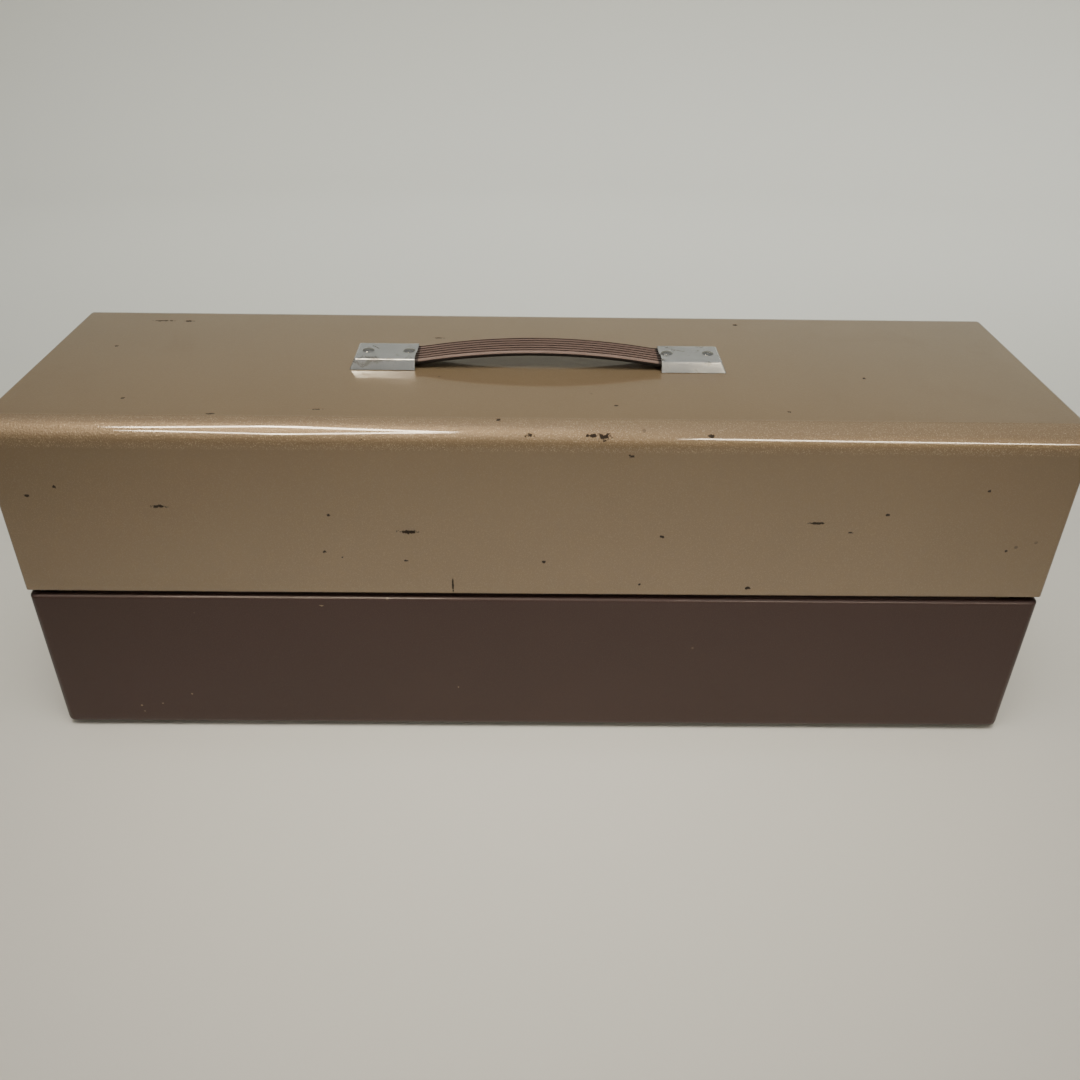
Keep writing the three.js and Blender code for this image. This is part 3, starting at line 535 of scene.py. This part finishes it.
tubPaint = {
    **paintWear,
    "dark": (0.039, 0.0206, 0.0168, 1), "light": (0.049, 0.0260, 0.0212, 1),
    "fleckColour": (0.095, 0.062, 0.047, 1), "fleck": 1900, "fleckShare": 0.25, "peel": 620, "bump": 0.2,
    "chip": (0.22, 0.16, 0.10, 1), "scratch": (0.10, 0.072, 0.055, 1), "wear": 0.5, "roughness": 0.42,
    "metallic": 0.1, "specular": 0.25, "coat": 0.2, "coatIor": 1.5, "coatRoughness": 0.05, "chipDepth": 1.0,
    "edgeY": (80, 85), "edgeZ": (105.6, 106.6), "edgeFleck": 0.4, "edgeCoat": 1.0, "edgePeel": 1.0,
    # the edge colour is a painted highlight along the ledge bend
    "edgeColour": (0.34, 0.27, 0.235, 1), "edgeShare": 0.75,
}

trayPaint = {**lidPaint, "wear": 1.0, "roughness": 0.42}

plateLook = {
    "fleck": 900, "peel": 420, "mottle": 60, "wornStretch": (6, 9, 9), "stainRange": (0.1, 0.7),
    "smudge": 0.18, "bump": 0.12,
}


def makePlate(name, metal):
    # dull plated or galvanised sheet
    material, tree, shader, place = newMaterial(name)
    look = {**plateLook, **metal}
    grain = placeGrain(tree, place, look)
    worn = placeGroup(tree, "worn", addVector(tree, "MULTIPLY", place, look["wornStretch"]), Amount=1)
    stain = addRange(tree, worn["Smudge"], *look["stainRange"])
    body = blendIn(tree, grain["Mottle"], look["dark"], look["light"])
    body = blendIn(tree, stain, body, look["stain"], look["stainShare"])
    rough = addMath(tree, "MULTIPLY_ADD", worn["Smudge"], look["smudge"], look["roughness"])
    setInputs(tree, shader, {"Base Color": body, "Roughness": rough, "Metallic": look["metallic"]})
    addBump(tree, shader, grain["Peel"], look["bump"])
    return material


strapLook = {
    # groove and underside colours are painted shade (the underside one also shades the strap inside the cap
    # mouths); bead is a painted highlight on the near edge
    "dark": (0.086, 0.053, 0.040, 1), "light": (0.128, 0.082, 0.062, 1), "groove": (0.016, 0.010, 0.008, 1),
    "under": (0.010, 0.007, 0.006, 1), "bead": (0.165, 0.108, 0.082, 1), "roughness": 0.46, "specular": 0.18,
    "fleck": 1500, "peel": 900, "mottle": 40, "smudge": 0.2, "bump": 0.35,
    "grooveShare": 0.9, "grooveRange": (0.2, 0.9), "beadShare": 0.8, "underRange": (0.35, 0.65),
    "mouthShade": (72.3, 73.1), "mouthShare": 0.85,
}


def makeStrapVinyl():
    # the strap's flatPlace says what is groove, near bead or underside, wherever it bows to; grooves and
    # underside get painted shade, and the near bead a painted highlight
    look = strapLook
    material, tree, shader, place = newMaterial("strapVinyl")
    flat = tree.nodes.new("ShaderNodeAttribute")
    flat.attribute_name = "flatPlace"
    parts = tree.nodes.new("ShaderNodeSeparateXYZ")
    tree.links.new(flat.outputs["Vector"], parts.inputs["Vector"])
    groove, bead, under = parts.outputs
    grain = placeGrain(tree, place, look)
    body = blendIn(tree, grain["Mottle"], look["dark"], look["light"])
    # painted shade in the grooves
    groove = addRange(tree, groove, *look["grooveRange"])
    body = blendIn(tree, groove, body, look["groove"], look["grooveShare"])
    # painted highlight along the near bead
    body = blendIn(tree, bead, body, look["bead"], look["beadShare"])
    # painted shade on the underside
    body = blendIn(tree, addRange(tree, under, *look["underRange"]), body, look["under"])
    # painted shade on the strap where it runs into the cap mouths
    mouth = rangeMask(tree, place, "X", *look["mouthShade"])
    body = blendIn(tree, mouth, body, look["under"], look["mouthShare"])
    rough = addMath(tree, "MULTIPLY_ADD", grain["Mottle"], look["smudge"], look["roughness"])
    setInputs(tree, shader, {"Base Color": body, "Roughness": rough, "Specular IOR Level": look["specular"]})
    addBump(tree, shader, grain["Peel"], look["bump"])
    return material


capMetal = {
    "dark": (0.26, 0.265, 0.25, 1), "light": (0.42, 0.425, 0.405, 1), "stain": (0.11, 0.10, 0.085, 1),
    "stainShare": 0.75, "roughness": 0.15, "metallic": 0.6,
}
screwMetal = {
    "dark": (0.19, 0.19, 0.175, 1), "light": (0.36, 0.36, 0.335, 1), "stain": (0.09, 0.08, 0.065, 1),
    "stainShare": 0.6, "roughness": 0.16, "metallic": 0.85,
}
zincMetal = {
    "dark": (0.42, 0.42, 0.40, 1), "light": (0.60, 0.60, 0.57, 1), "stain": (0.25, 0.22, 0.17, 1),
    "stainShare": 0.3, "roughness": 0.28, "metallic": 1.0,
}

finishes = {
    "lid": makePaint("lidEnamel", lidPaint, lidMarks),
    "tub": makePaint("tubEnamel", tubPaint, tubMarks),
    "tray": makePaint("trayEnamel", trayPaint),
    "cap": makePlate("capPlate", capMetal),
    "screw": makePlate("screwPlate", screwMetal),
    "zinc": makePlate("zincPlate", zincMetal),
    "strap": makeStrapVinyl(),
}
print("materials ready")


lidShape = {
    "longRound": 12.7 * mm, "longSegments": 16, "endRound": 2.5 * mm, "endSegments": 6,
    "sheet": 0.9 * mm, "edge": 0.22 * mm, "hem": 8 * mm, "hemIn": 1.85 * mm,
    "slot": 109 * mm, "relief": 8 * mm,  # height of the cut along the back, and its slant on the ends
}


def makeLid():
    low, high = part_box("lid_shell")
    shape = lidShape
    backY = low[1] + shape["endRound"]
    piece = addBox("lidShell", low, high)
    edit(piece)
    pick(piece, "EDGE", lambda e: all(near(v.co.z, high[2]) for v in e.verts)
         and near(e.verts[0].co.y, e.verts[1].co.y))
    bpy.ops.mesh.bevel(offset=shape["longRound"], segments=shape["longSegments"], affect="EDGES")
    for side in (low[0], high[0]):
        pick(piece, "EDGE", lambda e: all(near(v.co.x, side) for v in e.verts)
             and not all(near(v.co.z, low[2]) for v in e.verts))
        bpy.ops.mesh.bevel(offset=shape["endRound"], segments=shape["endSegments"], affect="EDGES")
    pick(piece, "FACE", lambda f: f.normal.z < -0.9)
    bpy.ops.mesh.delete(type="FACE")
    lean = Vector((0, shape["slot"] - low[2], shape["relief"])).normalized()
    for side in (-1, 1):
        pick(piece, "FACE", lambda f: f.normal.x * side > 0.999)
        bpy.ops.mesh.bisect(plane_co=(0, backY, shape["slot"]), plane_no=lean, clear_inner=True)
    pick(piece, "FACE", lambda f: f.calc_center_median().y < backY and abs(f.normal.x) < 0.999)
    bpy.ops.mesh.bisect(plane_co=(0, 0, shape["slot"]), plane_no=(0, 0, 1), clear_inner=True)
    pick(piece, "EDGE", lambda e: e.is_boundary and all(near(v.co.z, low[2], 1e-4) for v in e.verts))
    bpy.ops.mesh.extrude_edges_move()
    shrink = (1 - shape["hemIn"] / high[0], 1 - shape["hemIn"] / high[1], 1)
    bpy.ops.transform.resize(value=shrink, center_override=(0, 0, 0))
    bpy.ops.mesh.extrude_edges_move(TRANSFORM_OT_translate={"value": (0, 0, shape["hem"])})
    bpy.ops.object.mode_set(mode="OBJECT")
    applyModifier(piece, "SOLIDIFY", thickness=shape["sheet"], offset=-1, use_even_offset=True)
    softenEdges(piece, shape["edge"])
    return finishPiece(piece, "lid", finishes["lid"], ["lid_shell"])


makeLid()
print("lid ready")


def arcSteps(inset, height, radius, start, stop, count):
    # points of an arc in the plane of inset and height
    steps = []
    for i in range(1, count + 1):
        angle = math.radians(start + (stop - start) * i / count)
        steps.append((inset + radius * math.cos(angle), height + radius * math.sin(angle)))
    return steps


def pressPan(name, low, high, shape, rim):
    # a box with rounded corners, opened at the top, whose edge is drawn along the rim's insets and heights
    piece = addBox(name, low, high)
    edit(piece)
    if shape["corner"] > shape["bottom"]:
        pick(piece, "EDGE", lambda e: not near(e.verts[0].co.z, e.verts[1].co.z))
        bpy.ops.mesh.bevel(offset=shape["corner"], segments=shape["cornerSegments"], affect="EDGES")
        pick(piece, "EDGE", lambda e: all(near(v.co.z, low[2]) for v in e.verts))
    else:
        pick(piece, "EDGE", lambda e: not all(near(v.co.z, high[2]) for v in e.verts))
    bpy.ops.mesh.bevel(offset=shape["bottom"], segments=shape["bottomSegments"], affect="EDGES")
    if shape["emboss"]:
        pick(piece, "FACE", lambda f: f.normal.z < -0.999)
        bpy.ops.mesh.inset(thickness=shape["embossIn"])
        bpy.ops.mesh.inset(thickness=shape["embossSlope"])
        bpy.ops.transform.translate(value=(0, 0, -shape["emboss"]))
    pick(piece, "FACE", lambda f: f.normal.z > 0.999)
    bpy.ops.mesh.delete(type="FACE")
    pick(piece, "EDGE", lambda e: e.is_boundary)
    inset, height = 0, high[2]
    for nextInset, nextHeight in rim:
        bpy.ops.mesh.extrude_edges_move(TRANSFORM_OT_translate={"value": (0, 0, nextHeight - height)})
        shrink = [(size - nextInset) / (size - inset) for size in (high[0], high[1])]
        bpy.ops.transform.resize(value=(shrink[0], shrink[1], 1), center_override=(0, 0, 0))
        inset, height = nextInset, nextHeight
    bpy.ops.object.mode_set(mode="OBJECT")
    applyModifier(piece, "SOLIDIFY", thickness=shape["sheet"], offset=-1, use_even_offset=True)
    softenEdges(piece, shape["edge"])
    return piece


tubShape = {
    "corner": 5 * mm, "bottom": 5 * mm, "bottomSegments": 6, "sheet": 0.9 * mm, "edge": 0.2 * mm,
    "bend": 2.3 * mm, "bendSteps": 5, "ledge": 4.6 * mm, "lipSteps": 4, "drop": 4.5 * mm,
    "emboss": 2 * mm, "embossIn": 1 * mm, "embossSlope": 1.5 * mm,
}


def makeTub():
    shape = tubShape
    low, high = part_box("base_tub")
    seam = high[2]
    bend, ledge, sheet = shape["bend"], shape["ledge"], shape["sheet"]
    rim = arcSteps(bend, seam - bend, bend, 180, 90, shape["bendSteps"])
    rim += arcSteps(ledge - sheet, seam - sheet, sheet, 90, 0, shape["lipSteps"])
    rim.append((ledge, seam - shape["drop"]))
    start = (low[0], low[1], low[2] + shape["emboss"])
    piece = pressPan("baseTub", start, (high[0], high[1], seam - bend), shape, rim)
    return finishPiece(piece, "base", finishes["tub"], ["base_tub"])


trayShape = {
    "corner": 6 * mm, "cornerSegments": 8, "bottom": 3 * mm, "bottomSegments": 6, "sheet": 0.8 * mm,
    "edge": 0.15 * mm, "emboss": 0, "roll": 1.6 * mm, "rollTurn": 300, "rollSteps": 12,
}


def makeTrayPan():
    shape = trayShape
    low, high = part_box("tray_pan")
    curl = shape["roll"] - shape["sheet"]
    wall = shape["roll"] * 2 - shape["sheet"]
    rollZ = high[2] - shape["roll"]
    outer = (high[0] - wall, high[1] - wall, rollZ)
    rim = arcSteps(-curl, rollZ, curl, 0, shape["rollTurn"], shape["rollSteps"])
    piece = pressPan("trayPan", (-outer[0], -outer[1], low[2]), outer, shape, rim)
    return finishPiece(piece, "tray", finishes["tray"], ["tray_pan"])


makeTub()
makeTrayPan()
print("tub and tray pan ready")


capShape = {
    "slope": 2.6 * mm, "endSlope": 3.2 * mm, "bend": 1.1 * mm, "bendSegments": 5, "sheet": 0.9 * mm,
    "edge": 0.15 * mm, "jogY": -1 * mm, "jog": 0.6 * mm,  # the mouth's near part stands back by the jog
}


def makeCap(side, name):
    shape = capShape
    low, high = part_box(f"handle_cap_{name}")
    mouth, tip = (low[0], high[0]) if side > 0 else (high[0], low[0])
    piece = addBox(f"handleCap{name.title()}", low, high)
    edit(piece)
    mesh = bmesh.from_edit_mesh(piece.data)
    for vert in mesh.verts:
        if near(vert.co.z, high[2]):
            vert.co.y -= math.copysign(shape["slope"], vert.co.y)
            if near(vert.co.x, tip):
                vert.co.x -= side * shape["endSlope"]
    bmesh.update_edit_mesh(piece.data)
    pick(piece, "EDGE", lambda e: not all(near(v.co.x, mouth) for v in e.verts)
         and not all(near(v.co.z, low[2]) for v in e.verts))
    bpy.ops.mesh.bevel(offset=shape["bend"], segments=shape["bendSegments"], affect="EDGES")
    pick(piece, "FACE", lambda f: f.normal.z < -0.9 or f.normal.x * side < -0.9)
    bpy.ops.mesh.delete(type="FACE")
    jogX = mouth + side * shape["jog"]
    for place, normal in (((0, shape["jogY"], 0), (0, 1, 0)), ((jogX, 0, 0), (1, 0, 0))):
        bpy.ops.mesh.select_all(action="SELECT")
        bpy.ops.mesh.bisect(plane_co=place, plane_no=normal)
    pick(piece, "FACE", lambda f: f.calc_center_median().y < shape["jogY"]
         and abs(f.calc_center_median().x) < abs(jogX))
    bpy.ops.mesh.delete(type="FACE")
    bpy.ops.object.mode_set(mode="OBJECT")
    applyModifier(piece, "SOLIDIFY", thickness=shape["sheet"], offset=-1, use_even_offset=True)
    softenEdges(piece, shape["edge"])
    return finishPiece(piece, "lid", finishes["cap"], [f"handle_cap_{name}"])


strapShape = {
    "bow": 6.5 * mm, "mouth": 74 * mm, "split": 66 * mm, "floorGap": 0.6 * mm, "thick": 3.5 * mm,
    "ribs": 5, "bead": 2.2 * mm, "groove": 1.5 * mm, "grooveDeep": 0.7 * mm,
    "sideRound": 1.5 * mm, "sideSegments": 5, "edge": 0.16 * mm, "edgeAngle": 50, "stations": 64,
    "overlap": 2 * mm,  # built past the middle, then cut there, so that both halves meet flat
    "grooveReach": 0.6, "skin": 0.1 * mm, "underRise": 0.7 * mm,  # what counts as groove and underside
}


def strapHeight(x, top, capFloor, tip):
    # height and slope of the strap's middle line at a distance from the handle's middle
    shape = strapShape
    radius = (shape["mouth"] ** 2 + shape["bow"] ** 2) / (2 * shape["bow"])
    if x <= shape["split"]:
        fall = math.sqrt(radius ** 2 - x ** 2)
        return top - shape["thick"] / 2 - radius + fall, -x / fall
    startZ, startSlope = strapHeight(shape["split"], top, capFloor, tip)
    endZ = capFloor + shape["floorGap"] + shape["thick"] / 2
    run = tip - shape["split"]
    t = (x - shape["split"]) / run
    height = (2 * t ** 3 - 3 * t ** 2 + 1) * startZ + (t ** 3 - 2 * t ** 2 + t) * run * startSlope
    height += (3 * t ** 2 - 2 * t ** 3) * endZ
    slope = ((6 * t ** 2 - 6 * t) * (startZ - endZ) + (3 * t ** 2 - 4 * t + 1) * run * startSlope) / run
    return height, slope


def makeStrapHalf(side, name):
    # modelled flat, from the middle of the handle along +X, and bowed at the end
    shape = strapShape
    half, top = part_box("handle_strap")[1][1:]
    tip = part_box("strap_end_right")[1][0]
    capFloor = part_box("handle_cap_right")[0][2]
    thick = shape["thick"] / 2
    piece = addBox(f"strap{name.title()}", (-shape["overlap"], -half, -thick), (tip, half, thick))
    edit(piece)
    pick(piece, "EDGE", lambda e: near(e.verts[0].co.y, e.verts[1].co.y)
         and near(e.verts[0].co.z, e.verts[1].co.z))
    bpy.ops.mesh.bevel(offset=shape["sideRound"], segments=shape["sideSegments"], affect="EDGES")
    ribbed = half - shape["bead"]
    grooves = [ribbed * (2 * i / shape["ribs"] - 1) for i in range(shape["ribs"] + 1)]
    halfGroove = shape["groove"] / 2
    for y in grooves:
        for edge in (y - halfGroove, y + halfGroove):
            pick(piece, "FACE", lambda f: f.normal.z > 0.99)
            bpy.ops.mesh.bisect(plane_co=(0, edge, 0), plane_no=(0, 1, 0))
    pick(piece, "FACE", lambda f: f.normal.z > 0.99
         and any(abs(f.calc_center_median().y - y) < halfGroove for y in grooves))
    bpy.ops.mesh.extrude_region_move(TRANSFORM_OT_translate={"value": (0, 0, -shape["grooveDeep"])})
    bpy.ops.object.mode_set(mode="OBJECT")
    softenEdges(piece, shape["edge"], shape["edgeAngle"])
    edit(piece)
    bpy.ops.mesh.select_all(action="SELECT")
    bpy.ops.mesh.bisect(plane_co=(0, 0, 0), plane_no=(1, 0, 0), clear_inner=True, use_fill=True)
    for i in range(1, shape["stations"]):
        bpy.ops.mesh.select_all(action="SELECT")
        bpy.ops.mesh.bisect(plane_co=(tip * i / shape["stations"], 0, 0), plane_no=(1, 0, 0))
    bpy.ops.object.mode_set(mode="OBJECT")
    # flatPlace marks the grooves and underside for painted shade, and the near bead for a painted highlight
    flat = piece.data.attributes.new("flatPlace", "FLOAT_VECTOR", "POINT")
    grooveReach = shape["groove"] * shape["grooveReach"]
    for vert in piece.data.vertices:
        x, y, rise = vert.co
        overGroove = any(abs(y - centre) < grooveReach for centre in grooves)
        inGroove = overGroove and 0 < rise < thick - shape["skin"]
        nearBead = y < -ribbed - halfGroove
        flat.data[vert.index].vector = (inGroove, nearBead, rise < shape["underRise"])
        height, slope = strapHeight(x, top, capFloor, tip)
        lean = math.hypot(1, slope)
        vert.co.x = side * (x - rise * slope / lean)
        vert.co.z = height + rise / lean
    if side < 0:
        edit(piece)
        bpy.ops.mesh.select_all(action="SELECT")
        bpy.ops.mesh.flip_normals()
        bpy.ops.object.mode_set(mode="OBJECT")
    finishPiece(piece, None, finishes["strap"])
    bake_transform(piece)
    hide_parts("handle_strap", f"strap_end_{name}")
    return piece


for side, name in ((-1, "left"), (1, "right")):
    makeCap(side, name)
    makeStrapHalf(side, name)
print("handle ready")


screwShape = {
    "seat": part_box("handle_cap_left")[1][2], "kept": 0.45,  # share of the head's height above its seat
    "skin": 0.01 * mm,  # above the seat by more than this belongs to the head
    "crossed": "cap_screw_right_outer", "cross": (3.4 * mm, 0.9 * mm, 1.2 * mm),  # long, wide, deep
}


def shapeScrew(piece, node):
    # a lower head, and a cross recess in one of them
    shape = screwShape
    low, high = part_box(node)
    middle = (Vector(low) + Vector(high)) / 2
    edit(piece)
    pick(piece, "VERT", lambda v: v.co.z > shape["seat"] + shape["skin"])
    bpy.ops.transform.resize(value=(1, 1, shape["kept"]), center_override=(middle.x, middle.y, shape["seat"]))
    bpy.ops.object.mode_set(mode="OBJECT")
    if node != shape["crossed"]:
        return
    middle.z = shape["seat"] + (high[2] - shape["seat"]) * shape["kept"]
    long, wide, deep = shape["cross"]
    for size in ((long, wide), (wide, long)):
        reach = Vector((size[0] / 2, size[1] / 2, deep))
        cutter = addBox("cutter", middle - reach, middle + reach)
        applyModifier(piece, "BOOLEAN", operation="DIFFERENCE", solver="EXACT", object=cutter)
        bpy.data.objects.remove(cutter)


smallShape = {"edge": 0.15 * mm, "edgeAngle": 35, "merge": 1e-6, "flat": math.radians(1)}


def dressNode(node, name, finish):
    # a merged copy of a plain CAD piece, with eased edges
    shape = smallShape
    source = frame["nodes"][node]
    body = source["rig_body"]
    piece = source.copy()
    piece.data = source.data.copy()
    piece.parent = None
    for key in list(piece.keys()):
        del piece[key]
    piece.name = name
    bpy.context.scene.collection.objects.link(piece)
    edit(piece)
    bpy.ops.mesh.select_all(action="SELECT")
    bpy.ops.mesh.remove_doubles(threshold=shape["merge"])
    bpy.ops.mesh.dissolve_limited(angle_limit=shape["flat"])
    bpy.ops.object.mode_set(mode="OBJECT")
    if node.startswith("cap_screw"):
        shapeScrew(piece, node)
    softenEdges(piece, shape["edge"], shape["edgeAngle"])
    return finishPiece(piece, body, finishes[finish], [node])


def pieceName(node):
    first, *rest = node.split("_")
    return first + "".join(word.title() for word in rest)


slotOf = {part["node"]: part["material_slot"] for part in frame["record"]["subparts"]}
finishOf = {"lid_paint": "lid", "tub_paint": "tub", "tray_paint": "tray", "plated_steel": "zinc"}
made = {
    "lid_shell", "base_tub", "tray_pan", "handle_cap_left", "handle_cap_right",
    "handle_strap", "strap_end_left", "strap_end_right",
}
for node in sorted(frame["nodes"]):
    if node not in made:
        slotName = slotOf[node]
        finish = "screw" if node.startswith("cap_screw") else finishOf[slotName]
        dressNode(node, pieceName(node), finish)
print("small pieces ready")
